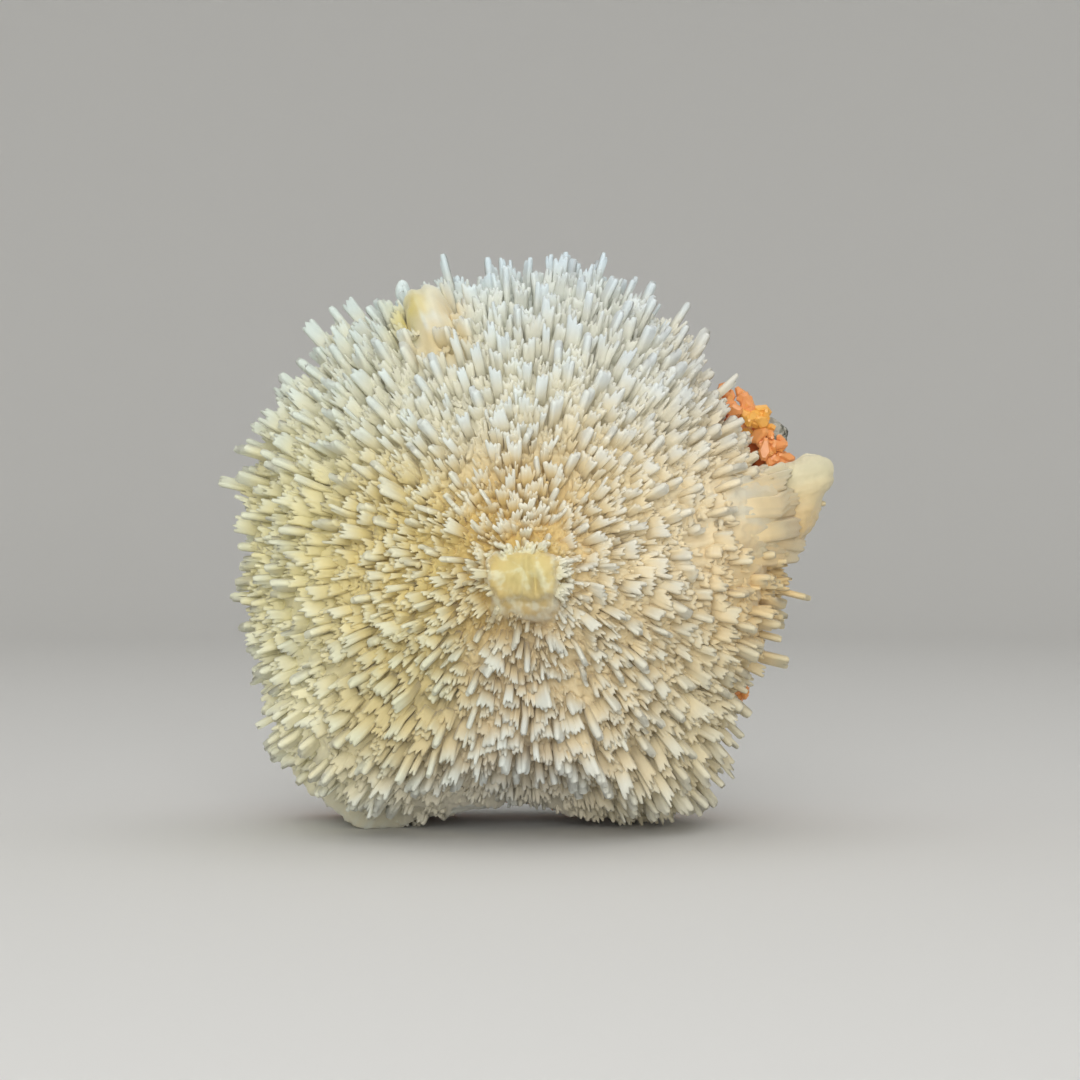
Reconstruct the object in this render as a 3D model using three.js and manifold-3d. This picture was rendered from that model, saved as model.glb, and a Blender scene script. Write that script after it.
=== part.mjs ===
// Mordenite with heulandite: a dome of radiating mordenite spines, about 98 mm across, that stands on
// its broken lower edge. A druse of heulandite tablets and a slab of basalt are grown to its back.
// Millimetres, +Z up, and the spines face -Y. The origin is at the bottom centre of the specimen.
// Until the last lines every place is measured from the growth centre, where the spines' lines meet.
import * as THREE from "three";
import { ConvexHull } from "three/addons/math/ConvexHull.js";
import { mergeVertices } from "three/addons/utils/BufferGeometryUtils.js";
import Module from "manifold-3d";

// The dome: the distance from the growth centre to the spine tips, towards the viewer and away.
const FRONT_RADIUS = 38;
const BACK_RADIUS = 21;
// The same distance sideways, as [degrees from +X towards +Z, millimetres].
const OUTLINE = [
  [0, 42], [20, 42.5], [38, 42], [52, 44.5], [68, 48.5], [82, 50.3], [104, 48.5], [128, 49],
  [150, 48.8], [172, 46.8], [192, 46.4], [207, 47.6], [216, 53.4], [226, 60], [240, 60], [270, 57],
  [296, 57], [307, 50.5], [318, 45], [330, 41], [345, 43], [360, 42],
];

// Spines, counted over a whole ball: about half of them lie outside the cuts.
const SPINE_COUNT = 970;
const TUFT_COUNT = 240;
const SPINE_JITTER = 0.24; // share of the spacing between spines
const TUFT_JITTER = 1.2;
const SPINE_LENGTH_SPREAD = 1.1;
const TUFT_HEIGHT_SPREAD = 1.1;
const SPINE_EDGE = 1.1; // the length of the blunt edge that a spine ends in
const HOLLOW_IN_TUFT = 5.5; // how far the hollows lie below the tips beside them
const HOLLOW_BETWEEN_TUFTS = 9.5;

// Single spines that stand out of the outline, as [degrees from +X, degrees from -Y, tip distance].
const LONG_SPINES = [
  [164.5, 88, 50.6], [132, 87, 52.2], [127, 84, 51.4], [124, 90, 51.2], [105, 86, 51.2],
  [75.5, 88, 51.4], [65.5, 86, 49.6], [58, 89, 49.4], [52, 87, 47.6], [41.5, 88, 45.6],
  [-6.5, 88, 46], [-20.5, 87, 45], [-34, 86, 43.2], [-44.5, 86, 47.6], [-51.5, 84, 49],
];

// Places where the spines are grown together into a blunt lump.
const LUMPS = [
  { across: 284, tilt: 1.5, reach: 0.17, rise: 4.6 }, // the pale yellow boss that faces the viewer
  { across: 111, tilt: 72, reach: 0.13, rise: 0.6 }, // the yellow boss near the top left
  { across: 13, tilt: 70, reach: 0.24, rise: 0.2 }, // the smooth place beside the lobe at the right
];
const HOLLOW_IN_LUMP = 1.4;

// The smooth rounded lobe at the right: its outline from the front, counter-clockwise, as [x, height].
const LOBE_OUTLINE = [
  [31, 5], [40.8, 4.6], [43.8, 6.2], [45.4, 9.4], [45.5, 11.8], [47.2, 13.2], [47.5, 15.1],
  [46.2, 16], [43.6, 15], [38, 13.4], [31, 12.5],
];
const LOBE_ROUNDING = 1.7; // this much is added all round the outline
const LOBE_STEPS = 24; // stretches along its outline
const LOBE_FRONT = -5.4;
const LOBE_THICKNESS = 8.2;

// The flat that the specimen rests on, and the arched break above it, as [x, height] from the left.
const REST_HEIGHT = -41.5;
const BREAK_LINE = [
  [-64, -14], [-50, -23.5], [-42, -30.5], [-33, -38], [-26, -42.6], [-20, -42.6], [-12, -39.9],
  [-4, -38.4], [5, -38.7], [11, -40.4], [16, -42.6], [22, -42.6], [31, -38.6], [44, -31], [64, -20],
];
const BREAK_RISE = 0.34; // the break climbs towards the front from BREAK_RISE_FROM on
const BREAK_RISE_FROM = -6;
const BREAK_LEDGE = 0.9; // the height of the ledges in the break

// The seams behind the dome: mordenite to heulandite, and heulandite to basalt.
const DRUSE_SEAM = 10;
const BASALT_SEAM = 15;
const SEAM_WAVE = 0.8;
const SEAM_GAP = 0.3;

// The notch at the upper right: the spines are missing there, and the druse comes forward.
const NOTCH = { x: 41, z: 23, depth: 9, reach: 9.5 };
const NOTCH_DEGREES = THREE.MathUtils.radToDeg(Math.atan2(NOTCH.z, NOTCH.x));

// The druse, as a share of the dome's outline, and the two places where it reaches further out.
const DRUSE_SHARE = 0.86;
const DRUSE_AT_NOTCH = { degrees: NOTCH_DEGREES, width: 13, radius: 43.8 };
const DRUSE_AT_RIGHT = { degrees: -31, width: 6, radius: 40.5 };
const DRUSE_LUMPS = 1;
const TABLET_COUNT = 32;
const NOTCH_TABLET_COUNT = 11;
const TABLET_LENGTH = 5.5;
const TABLET_LENGTH_SPREAD = 2.5;
const TABLET_ROOT = 3; // how deep the tablets are rooted in the druse
const NOTCH_TABLET_ROOT = 5.4;
const TABLET_HALF_WIDTH = 0.36; // shares of a tablet's length
const TABLET_WIDEST_AT = 0.62;
const TABLET_THICKNESS = 0.34;

// The slab, as a share of the dome's outline, and where it reaches further out behind the notch.
const BASALT_SHARE = 0.84;
const BASALT_AT_NOTCH = { degrees: NOTCH_DEGREES, width: 14, radius: 54.5 };
const BASALT_LUMPS = 1.5;
const BASALT_BACK = 27;
const BASALT_FLAT_COUNT = 22; // the flat breaks around its rim and back
const BASALT_FLAT_DISTANCE = 38; // from the growth centre to the nearest of them
const BASALT_FLAT_SPREAD = 4;
const BASALT_FLAT_AT_NOTCH = { degrees: NOTCH_DEGREES, width: 35, further: 17 };

const FAR = 160; // the size of the blocks that cut, well past the specimen

const wasm = await Module();
wasm.setup();

// A repeatable series of numbers from 0 to 1.
function seeded(seed) {
  let state = seed;
  return () => {
    state = (state + 0x6d2b79f5) | 0;
    let t = Math.imul(state ^ (state >>> 15), 1 | state);
    t = (t + Math.imul(t ^ (t >>> 7), 61 | t)) ^ t;
    return ((t ^ (t >>> 14)) >>> 0) / 4294967296;
  };
}

function radians(degrees) {
  return (degrees * Math.PI) / 180;
}

// The smooth value at `at` of a list of [place, value] pairs in rising order.
function between(pairs, at) {
  const next = Math.max(1, pairs.findIndex(([place]) => place >= at));
  const [[from, low], [to, high]] = [pairs[next - 1], pairs[next]];
  return THREE.MathUtils.lerp(low, high, THREE.MathUtils.smoothstep(at, from, to));
}

// The dome's sideways radius at an angle in degrees from +X.
function outlineRadius(degrees) {
  return between(OUTLINE, THREE.MathUtils.euclideanModulo(degrees, 360));
}

// A unit vector from an angle across the view and a tilt away from the viewer, both in degrees.
function towards(across, tilt) {
  const side = Math.sin(radians(tilt));
  return new THREE.Vector3(
    side * Math.cos(radians(across)), -Math.cos(radians(tilt)), side * Math.sin(radians(across)),
  );
}

// The angle in degrees from +X, seen from the front, of a direction.
function acrossOf(direction) {
  return THREE.MathUtils.radToDeg(Math.atan2(direction.z, direction.x));
}

// An even spread of directions over a ball.
function spreadDirections(count) {
  const turn = Math.PI * (3 - Math.sqrt(5));
  return Array.from({ length: count }, (_, i) => {
    const y = 1 - (2 * i + 1) / count;
    const side = Math.sqrt(1 - y * y);
    return new THREE.Vector3(side * Math.cos(turn * i), y, side * Math.sin(turn * i));
  });
}

// A vector with a random direction and a length under one.
function randomVector(random) {
  return new THREE.Vector3(random() - 0.5, random() - 0.5, random() - 0.5);
}

// The direction moved aside by a random part of `spread`.
function jittered(direction, spread, random) {
  return direction.clone().addScaledVector(randomVector(random), 2 * spread).normalize();
}

// How far a direction lies inside a lump: 1 over most of it, and 0 outside.
function inLump(lump, direction) {
  const away = direction.angleTo(towards(lump.across, lump.tilt));
  return 1 - THREE.MathUtils.smoothstep(away, lump.reach * 0.55, lump.reach);
}

// The distance from the growth centre to the level of the spine tips.
function tipLevel(direction) {
  const across = Math.hypot(direction.x, direction.z);
  const side = outlineRadius(acrossOf(direction));
  const depth = direction.y < 0 ? FRONT_RADIUS : BACK_RADIUS;
  const rise = LUMPS.reduce((sum, lump) => sum + lump.rise * inLump(lump, direction), 0);
  return 1 / Math.hypot(across / side, direction.y / depth) + rise;
}

// A closed geometry as a solid.
function solidOf(geometry) {
  const plain = geometry.index ? geometry.toNonIndexed() : geometry.clone();
  plain.deleteAttribute("normal");
  plain.deleteAttribute("uv");
  const merged = mergeVertices(plain, 1e-4);
  return new wasm.Manifold(new wasm.Mesh({
    numProp: 3,
    vertProperties: merged.attributes.position.array,
    triVerts: new Uint32Array(merged.index.array),
  }));
}

// The named mesh of a solid. Crumbs that the cuts left loose are dropped.
function meshOf(name, solid, material) {
  const [largest] = solid.decompose().sort((a, b) => b.volume() - a.volume());
  const { vertProperties, triVerts } = largest.getMesh();
  const geometry = new THREE.BufferGeometry();
  geometry.setAttribute("position", new THREE.BufferAttribute(vertProperties, 3));
  geometry.setIndex(new THREE.BufferAttribute(triVerts, 1));
  geometry.computeVertexNormals();
  const mesh = new THREE.Mesh(geometry, material);
  mesh.name = name;
  return mesh;
}

// A large block on one side of an uneven face: behind the face for "y", and below it for "z".
function blockWithFace(axis, level, steps) {
  const segments = axis === "y" ? [steps, 1, steps] : [steps, steps, 1];
  const block = new THREE.BoxGeometry(FAR, FAR, FAR, ...segments);
  const p = block.attributes.position;
  for (let i = 0; i < p.count; i++) {
    const place = new THREE.Vector3().fromBufferAttribute(p, i);
    if (axis === "y") p.setY(i, place.y < 0 ? level(place) : FAR);
    else p.setZ(i, place.z > 0 ? level(place) : -FAR);
  }
  return solidOf(block);
}

// The spine tips: their direction, distance, tuft and blunt end.
function spineTips() {
  const random = seeded(11);
  const spacing = Math.sqrt((4 * Math.PI) / SPINE_COUNT);
  const tufts = spreadDirections(TUFT_COUNT).map((direction) => ({
    centre: jittered(direction, TUFT_JITTER * spacing, random),
    rise: (random() - 0.5) * 2 * TUFT_HEIGHT_SPREAD,
  }));
  const tips = spreadDirections(SPINE_COUNT).map((even) => {
    const direction = jittered(even, SPINE_JITTER * spacing, random);
    const tuft = tufts.reduce((near, t) =>
      t.centre.dot(direction) > near.centre.dot(direction) ? t : near);
    const blunt = Math.max(...LUMPS.map((lump) => inLump(lump, direction)));
    const spread = tuft.rise + (random() - 0.5) * 2 * SPINE_LENGTH_SPREAD;
    return { direction, tuft, blunt, distance: tipLevel(direction) + spread * (1 - 0.8 * blunt) };
  });
  for (const [across, tilt, distance] of LONG_SPINES) {
    const aim = towards(across, tilt);
    const nearest = tips.reduce((near, t) =>
      t.direction.dot(aim) > near.direction.dot(aim) ? t : near);
    nearest.direction.copy(aim);
    nearest.distance = distance;
  }
  for (const tip of tips) {
    const halfEdge = (SPINE_EDGE / 2) * (0.5 + random());
    const middle = tip.direction.clone().multiplyScalar(tip.distance);
    tip.along = randomVector(random).projectOnPlane(tip.direction).setLength(halfEdge);
    tip.ends = [middle.clone().add(tip.along), middle.clone().sub(tip.along)];
  }
  return tips;
}

// One edge of a hull for each of its points: an edge that starts there.
function firstEdges(hull) {
  const first = new Map();
  for (const face of hull.faces) {
    for (const edge of [face.edge, face.edge.next, face.edge.next.next]) {
      first.set(edge.tail().point, edge);
    }
  }
  return first;
}

// The hull faces around the point that an edge starts from, counter-clockwise from outside.
function facesAround(start) {
  const faces = [];
  let edge = start;
  do {
    faces.push(edge.face);
    edge = edge.prev.twin;
  } while (edge !== start);
  return faces;
}

// The hollow between three neighbouring tips.
function hollowAt(direction, tips) {
  const oneTuft = tips.every((tip) => tip.tuft === tips[0].tuft);
  const blunt = Math.max(...tips.map((tip) => tip.blunt));
  const open = oneTuft ? HOLLOW_IN_TUFT : HOLLOW_BETWEEN_TUFTS;
  const depth = THREE.MathUtils.lerp(open, HOLLOW_IN_LUMP, blunt);
  return direction.clone().multiplyScalar(tipLevel(direction) - depth);
}

// The spines grown to their ball. Every spine rises from the hollows around it to a short blunt edge.
// Each side of it is a triangle on the nearer end of that edge, and two more close the edge's length.
function spinyBall() {
  const tips = spineTips();
  const hull = new ConvexHull().setFromPoints(tips.map((tip) => tip.direction));
  const tipAt = new Map(tips.map((tip) => [tip.direction, tip]));
  const corners = [];
  const hollowIndex = new Map();
  for (const face of hull.faces) {
    const around = [face.edge, face.edge.next, face.edge.next.next]
      .map((edge) => tipAt.get(edge.tail().point));
    hollowIndex.set(face, corners.length);
    corners.push(hollowAt(face.midpoint.clone().normalize(), around));
  }
  const triangles = [];
  for (const [point, edge] of firstEdges(hull)) {
    const tip = tipAt.get(point);
    const middle = point.clone().multiplyScalar(tip.distance);
    const hollows = facesAround(edge).map((face) => hollowIndex.get(face));
    const after = (i) => hollows[(i + 1) % hollows.length];
    const ends = tip.ends.map((end) => corners.push(end) - 1);
    const endFor = hollows.map((hollow, i) => {
      const foot = corners[hollow].clone().lerp(corners[after(i)], 0.5);
      return foot.sub(middle).dot(tip.along) > 0 ? ends[0] : ends[1];
    });
    hollows.forEach((hollow, i) => {
      const endBefore = endFor[(i + hollows.length - 1) % hollows.length];
      triangles.push(endFor[i], hollow, after(i));
      if (endBefore !== endFor[i]) triangles.push(endBefore, hollow, endFor[i]);
    });
  }
  const ball = new THREE.BufferGeometry().setFromPoints(corners);
  ball.setIndex(triangles);
  return solidOf(ball);
}

function druseSeam({ x, z }) {
  const inNotch = Math.exp(-((x - NOTCH.x) ** 2 + (z - NOTCH.z) ** 2) / NOTCH.reach ** 2);
  return DRUSE_SEAM + SEAM_WAVE * (Math.sin(x / 7) + Math.cos(z / 9)) - NOTCH.depth * inNotch;
}

function basaltSeam({ x, z }) {
  return BASALT_SEAM + SEAM_WAVE * (Math.sin(z / 8) - Math.cos(x / 10));
}

// The slab's back: it thins towards the rim and has hummocks and dents.
function basaltBack({ x, z }) {
  const hummocks = 1.6 * Math.sin(x / 5 + z / 9) + 1.2 * Math.cos(z / 4);
  return BASALT_BACK - 0.004 * (x * x + z * z) + hummocks;
}

function brokenUnderside({ x, y }) {
  const climb = BREAK_RISE * Math.max(0, BREAK_RISE_FROM - y);
  const ledge = BREAK_LEDGE * Math.sin(0.9 * x + 2 * Math.sin(0.4 * y)) * Math.cos(0.7 * y + 0.3 * x);
  return between(BREAK_LINE, THREE.MathUtils.clamp(x, -64, 64)) + climb + ledge;
}

// Everything below the level that the specimen rests on.
function belowRest() {
  return blockWithFace("z", () => REST_HEIGHT, 1);
}

// How near an angle lies to a place on the rim: 1 there, and falling off over its width.
function nearness(degrees, place) {
  const away = THREE.MathUtils.euclideanModulo(degrees - place.degrees + 180, 360) - 180;
  return Math.exp(-((away / place.width) ** 2));
}

// A share of the dome's outline that swells to a stated radius at each of some places.
function swollenOutline(share, places) {
  return (degrees) => {
    const plain = share * outlineRadius(degrees);
    return places.reduce((radius, place) =>
      radius + (place.radius - plain) * nearness(degrees, place), plain);
  };
}

const druseRadius = swollenOutline(DRUSE_SHARE, [DRUSE_AT_NOTCH, DRUSE_AT_RIGHT]);
const basaltRadius = swollenOutline(BASALT_SHARE, [BASALT_AT_NOTCH]);

// A lumpy body round the growth centre whose radius is given for each angle across the view.
function lumpyBody(radiusAt, lumpiness, detail, seed) {
  const random = seeded(seed);
  const shape = new THREE.IcosahedronGeometry(1, detail);
  shape.deleteAttribute("normal");
  shape.deleteAttribute("uv");
  const merged = mergeVertices(shape, 1e-4);
  const p = merged.attributes.position;
  for (let i = 0; i < p.count; i++) {
    const direction = new THREE.Vector3().fromBufferAttribute(p, i).normalize();
    const radius = radiusAt(acrossOf(direction)) + (random() - 0.5) * 2 * lumpiness;
    p.setXYZ(i, direction.x * radius, direction.y * radius, direction.z * radius);
  }
  return solidOf(merged);
}

// A coffin-shaped heulandite tablet that stands on its narrow end at the origin, along +Y.
function tablet(length) {
  const half = length * TABLET_HALF_WIDTH;
  const widest = length * TABLET_WIDEST_AT;
  const thickness = length * TABLET_THICKNESS;
  const outline = new THREE.Shape([
    new THREE.Vector2(-half * 0.6, 0), new THREE.Vector2(half * 0.6, 0),
    new THREE.Vector2(half, widest), new THREE.Vector2(half * 0.5, length),
    new THREE.Vector2(-half * 0.5, length), new THREE.Vector2(-half, widest),
  ]);
  return new THREE.ExtrudeGeometry(outline, { depth: thickness, bevelEnabled: false })
    .translate(0, 0, -thickness / 2);
}

// A tablet rooted at a place, growing along a direction and rolled about it.
function placedTablet(length, root, direction, roll) {
  const up = new THREE.Vector3(0, 1, 0);
  const turn = new THREE.Quaternion().setFromUnitVectors(up, direction);
  turn.multiply(new THREE.Quaternion().setFromAxisAngle(up, roll));
  const placing = new THREE.Matrix4().compose(root, turn, new THREE.Vector3(1, 1, 1));
  return solidOf(tablet(length).applyMatrix4(placing));
}

// The lobe: a slab with the curved outline and rounded rims.
function lobe() {
  const corners = LOBE_OUTLINE.map(([x, height]) => new THREE.Vector2(x, height));
  const rim = new THREE.SplineCurve([...corners, corners[0]]).getPoints(LOBE_STEPS);
  const slab = new THREE.ExtrudeGeometry(new THREE.Shape(rim), {
    depth: LOBE_THICKNESS - 2 * LOBE_ROUNDING,
    bevelThickness: LOBE_ROUNDING,
    bevelSize: LOBE_ROUNDING,
    bevelSegments: 3,
  });
  const back = LOBE_FRONT + LOBE_THICKNESS - LOBE_ROUNDING;
  return solidOf(slab.rotateX(Math.PI / 2).translate(0, back, 0));
}

function mordenite() {
  return spinyBall()
    .add(lobe())
    .subtract(blockWithFace("y", druseSeam, 12))
    .subtract(blockWithFace("z", brokenUnderside, 20))
    .subtract(belowRest());
}

function heulandite() {
  const random = seeded(29);
  const parts = [lumpyBody(druseRadius, DRUSE_LUMPS, 5, 5)];
  const addTablet = (degrees, depth, tilt, rooted) => {
    const side = Math.sqrt(druseRadius(degrees) ** 2 - depth ** 2) - rooted;
    const root = towards(degrees, 90).multiplyScalar(side).setY(depth);
    const length = TABLET_LENGTH + TABLET_LENGTH_SPREAD * random();
    parts.push(placedTablet(length, root, towards(degrees, 90 + tilt), random() * Math.PI));
  };
  for (let i = 0; i < TABLET_COUNT; i++) {
    const depth = THREE.MathUtils.lerp(DRUSE_SEAM + 1, BASALT_SEAM - 1, random());
    addTablet((360 * (i + random() * 0.7)) / TABLET_COUNT, depth, 30 * random() - 10, TABLET_ROOT);
  }
  for (let i = 0; i < NOTCH_TABLET_COUNT; i++) {
    const aside = THREE.MathUtils.lerp(-14, 14, (i + 0.5) / NOTCH_TABLET_COUNT);
    addTablet(NOTCH_DEGREES + aside, 4 + 7 * random(), 60 * random() - 40, NOTCH_TABLET_ROOT);
  }
  return wasm.Manifold.union(parts)
    .intersect(blockWithFace("y", (place) => druseSeam(place) + SEAM_GAP, 12))
    .subtract(blockWithFace("y", basaltSeam, 6))
    .subtract(blockWithFace("z", brokenUnderside, 20))
    .subtract(belowRest());
}

// One of the blocks that break flats off the slab: it faces outwards and away from the viewer.
function flatBreak(across, tilt, distance) {
  const outwards = towards(across, tilt);
  const turn = new THREE.Quaternion().setFromUnitVectors(new THREE.Vector3(0, 0, 1), outwards);
  const block = new THREE.BoxGeometry(FAR, FAR, FAR).translate(0, 0, distance + FAR / 2);
  return solidOf(block.applyQuaternion(turn));
}

function basalt() {
  const random = seeded(17);
  const flats = Array.from({ length: BASALT_FLAT_COUNT }, (_, i) => {
    const across = (360 * (i + random())) / BASALT_FLAT_COUNT;
    const tilt = 110 + 50 * random();
    const further = BASALT_FLAT_AT_NOTCH.further * nearness(across, BASALT_FLAT_AT_NOTCH);
    return flatBreak(across, tilt, BASALT_FLAT_DISTANCE + further + BASALT_FLAT_SPREAD * random());
  });
  return lumpyBody(basaltRadius, BASALT_LUMPS, 6, 17)
    .intersect(blockWithFace("y", (place) => basaltSeam(place) + SEAM_GAP, 6))
    .subtract(blockWithFace("y", basaltBack, 12))
    .subtract(wasm.Manifold.union(flats))
    .subtract(belowRest());
}

const materials = {
  mordenite: new THREE.MeshStandardMaterial({ color: 0xe6e1c8, roughness: 0.6, metalness: 0 }),
  heulandite: new THREE.MeshStandardMaterial({ color: 0xd98145, roughness: 0.3, metalness: 0 }),
  basalt: new THREE.MeshStandardMaterial({ color: 0x5d5f55, roughness: 0.9, metalness: 0 }),
};

const specimen = new THREE.Group();
specimen.add(
  meshOf("mordenite", mordenite(), materials.mordenite),
  meshOf("heulandite", heulandite(), materials.heulandite),
  meshOf("basalt", basalt(), materials.basalt),
);

// Move the growth centre so that the origin is at the bottom centre.
const extent = new THREE.Box3().setFromObject(specimen);
const middle = extent.getCenter(new THREE.Vector3());
specimen.position.set(-middle.x, -middle.y, -extent.min.z);

export default specimen;
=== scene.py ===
"""Mordenite with heulandite: a dome of radiating white needles over orange crystals on a basalt slab.

The shapes are worked out in millimetres, and the meshes are made in metres. The lines of the needles
meet at the growth centre, inside the dome, and the dome faces -Y.
"""

import math

import bmesh
import bpy
import numpy as np
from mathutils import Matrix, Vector, noise
from mathutils.bvhtree import BVHTree


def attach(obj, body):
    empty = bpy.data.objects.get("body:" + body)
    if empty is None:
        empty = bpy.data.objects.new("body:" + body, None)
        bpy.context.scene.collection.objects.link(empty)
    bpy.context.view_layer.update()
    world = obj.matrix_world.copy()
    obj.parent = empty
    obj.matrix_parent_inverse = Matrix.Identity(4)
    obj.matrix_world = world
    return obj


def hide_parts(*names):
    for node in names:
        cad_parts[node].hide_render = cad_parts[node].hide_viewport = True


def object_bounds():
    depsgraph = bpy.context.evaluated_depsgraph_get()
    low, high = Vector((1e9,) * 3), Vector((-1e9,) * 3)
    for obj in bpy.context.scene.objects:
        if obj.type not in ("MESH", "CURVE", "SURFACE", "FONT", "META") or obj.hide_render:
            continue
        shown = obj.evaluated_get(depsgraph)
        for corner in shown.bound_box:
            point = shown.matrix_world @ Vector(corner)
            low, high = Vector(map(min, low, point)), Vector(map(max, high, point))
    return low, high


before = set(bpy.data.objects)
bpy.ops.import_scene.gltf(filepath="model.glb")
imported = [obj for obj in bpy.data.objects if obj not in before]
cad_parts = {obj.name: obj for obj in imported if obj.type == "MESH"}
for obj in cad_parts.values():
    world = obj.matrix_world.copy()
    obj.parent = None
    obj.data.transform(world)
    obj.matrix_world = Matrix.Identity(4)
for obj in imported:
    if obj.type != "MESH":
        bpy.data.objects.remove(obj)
cad_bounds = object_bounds()

MM = 0.001

# The growth centre, from the frame's origin.
CENTRE = np.array([-0.2, 7.2, 41.5])
TIP_REACH = 45  # from it to most of the tips

# What counts as the tip of one of the solid's spines: the least reach and height, and half the edge of a
# pointed one.
LEAST_REACH = 24
LEAST_HEIGHT = 1.5
POINT_HALF = 0.4

# The blades: needles grown together side by side, whose tips show as teeth. One stands on every spine of
# the solid, and fillers between them.
FILLER_COUNT = 10500  # over a whole ball
FILLER_SHARES = [(0, 0.95), (30, 0.88), (60, 0.85), (90, 0.85)]  # the share kept, by tilt in degrees
FILLER_GAP = 1.2  # the least distance from a filler to a spine's tip
FILLER_DROP = 2.4  # how far the lowest fillers end below the tips beside them
FILLER_JITTER = 0.36  # share of their spacing
CLUSTER_SIZE = 6.5
CLUSTER_DROP = 1.5  # how much lower the blades end between clusters
TIP_SOFTNESS = 0.045  # radians over which the level of the tips is averaged
BLADE_TILT = 0.1  # radians by which a filler leans aside
LEAN_OUT = 0.8  # how far the blades round the middle lean outwards, as a slope
LEAN_WHERE_FUSED = 1.1
CRUMB_SHARE = 0.4  # of the fillers round the middle, this share are small
BLADE_RINGS = 5  # of corners, from its root to its teeth
BLADE_END = 0.45  # from the last tooth to the blade's edge, in spacings of the teeth
NOTCH_THICKNESS = 0.74  # the blade's thickness between two teeth, as a share
SHORTEST_BLADE = 1.2
RIM_DROP = 1.1  # how much more uneven the tips are towards the rim, as a share
RIM_SIZE = 0.12  # and how much larger the blades
RIM_FROM, RIM_TO = 30, 65  # the tilts over which that comes in, in degrees
SHARE_LOST_WHERE_FUSED = 0.3
DROP_LOST_WHERE_FUSED = 0.35
BARE_SHARE = 0.6  # no blade stands where a lump's share is above this
PIECE_COUNT = 4

# The solid body that the needles stand on.
BODY_DEPTH = 3.8  # below the tips
BODY_DEPTH_WHERE_FUSED = 2.0
RIM_BODY_DEPTH = 2.6  # how much deeper it lies towards the rim
BODY_ROWS = 150  # from the middle of the dome out to its rim, and on to the back
BODY_BACK_ROWS = 24
BODY_COLUMNS = 420
BODY_SOFTNESS = 0.1  # radians over which it averages the level of the tips
LUMP_SOFTNESS = 0.06  # and over which a lump does
BODY_RIM = 108  # tilt of the last close row, in degrees
BODY_FLUTES = 0.9
FLUTE_WIDTH = 1.5
FLUTE_LENGTH = 11
BODY_ROUGHNESS = 0.5
BREAK_ROUGHNESS = 0.9
BREAK_TOP = 25  # the broken underside lies lower than this
BREAK_SLOPE = -0.45  # and its normals point down by at least this
SEAM_REACH = 0.9  # the dome is grown against its neighbour where they are this near
# The boss and the broken faces take this much of the hollow colour, with its painted shade.
BARE_DEPTH = 1.2  # how deep in colour the boss and the broken faces are
ROOT_DEPTH = 0.8  # how far the needles are rooted in it

# Lumps of blades grown together: across and tilt in degrees, half the width and half the length outwards
# in radians, softness of the edge, and the depth of the face below the tips or else its reach.
LUMPS = [
    (270, 1.8, 0.145, 0.1, 0.32, None, 42.2),  # the boss in the middle
    (270, 7.5, 0.15, 0.075, 0.9, None, 40.6),  # the slope under it
    (111, 71, 0.08, 0.2, 0.6, 0.5, None),  # the yellow lump at the top left
    (13, 68, 0.16, 0.32, 0.6, 0.9, None),  # the patch beside the lobe
    (231, 88, 0.28, 0.17, 0.5, 0.8, None),  # the foot at the lower left
]
BOSS = 0
BESIDE_LOBE = 3
LUMP_RAGGEDNESS = 0.16  # how uneven a lump's edge is, as a share of its size
LUMP_BOXINESS = 3

# The boss: the size and height of its relief, and the crease in its face, as x and height.
BOSS_FIBRES = np.array([0.9, 3.0, 2.6])
BOSS_RELIEF = 0.42
CREASE = np.array([1.8, -2.2])
CREASE_SIZE = np.array([0.5, 1.8])  # half its width and half its length
CREASE_DEPTH = 1.5

# The flakes round the upper edge of the boss.
FRINGE_COUNT = 38
FRINGE_TURN = (-40, 215)  # degrees
FRINGE_PLACE = (0.85, 1.35)  # as a share of the boss's half sizes
FRINGE_DROP = (0.1, 2.6)  # below the boss's face
FRINGE_LENGTH = 4.5
FRINGE_LEAN = 1.1

# The rounded white grain on the rim at the top left, from the growth centre.
GRAIN_PLACE = np.array([-19.4, -3.0, 43.4])
GRAIN_SIZE = np.array([1.2, 1.2, 1.9])

# Places where the blades are partly grown together: across, tilt and spread in degrees, and the most.
FUSED = [
    (111, 60, 9, 0.7),
    (4, 62, 30, 0.9),
    (345, 70, 22, 0.6),
    (232, 82, 16, 0.9),
    (225, 64, 18, 0.75),
    (185, 66, 22, 0.55),
    (270, 86, 20, 0.4),
]

# Stains where they are grown together, and how far they take on the colour of the hollows.
STAIN_WIDTH = 2.4
STAIN_LENGTH = 9
STAIN = 0.85

# Where the body swells out to meet the lobe: across, its spread in degrees, and how far.
SWELL_ACROSS = 13
SWELL_SPREAD = 8
SWELL = 1.2

# The smooth lobe at the right, from the growth centre.
LOBE_MIDDLE = np.array([41.0, -1.3, 10.0])
LOBE_SIZE = np.array([12.0, 7.0, 11.0])  # half its size, with a margin
LOBE_BARE_SIZE = np.array([9.0, 6.0, 8.5])  # no filler stands here
LOBE_RIM_SHARE = 0.45  # of its thickness, left at its rim
LOBE_REACH = 12.5  # the lobe's body is not followed further than this into the dome
LOBE_ROUNDS = 14  # how often its surface is smoothed
LOBE_SMOOTHING = 0.6  # the share of the neighbours in that
LOBE_SECTORS = 48  # in which its rim is found
LOBE_LUMPS = 0.6
LOBE_FLUTES = 0.35

# The tips of the prongs on the lobe's lower edge, as x and height from the growth centre.
PRONGS = np.array([
    (48.0, 9.8), (47.3, 8.6), (46.6, 7.5), (45.6, 6.6), (45.2, 5.4), (44.4, 4.2), (44.2, 2.8),
])
PRONG_LENGTH = 4.5
PRONG_Y = -1.3

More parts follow.
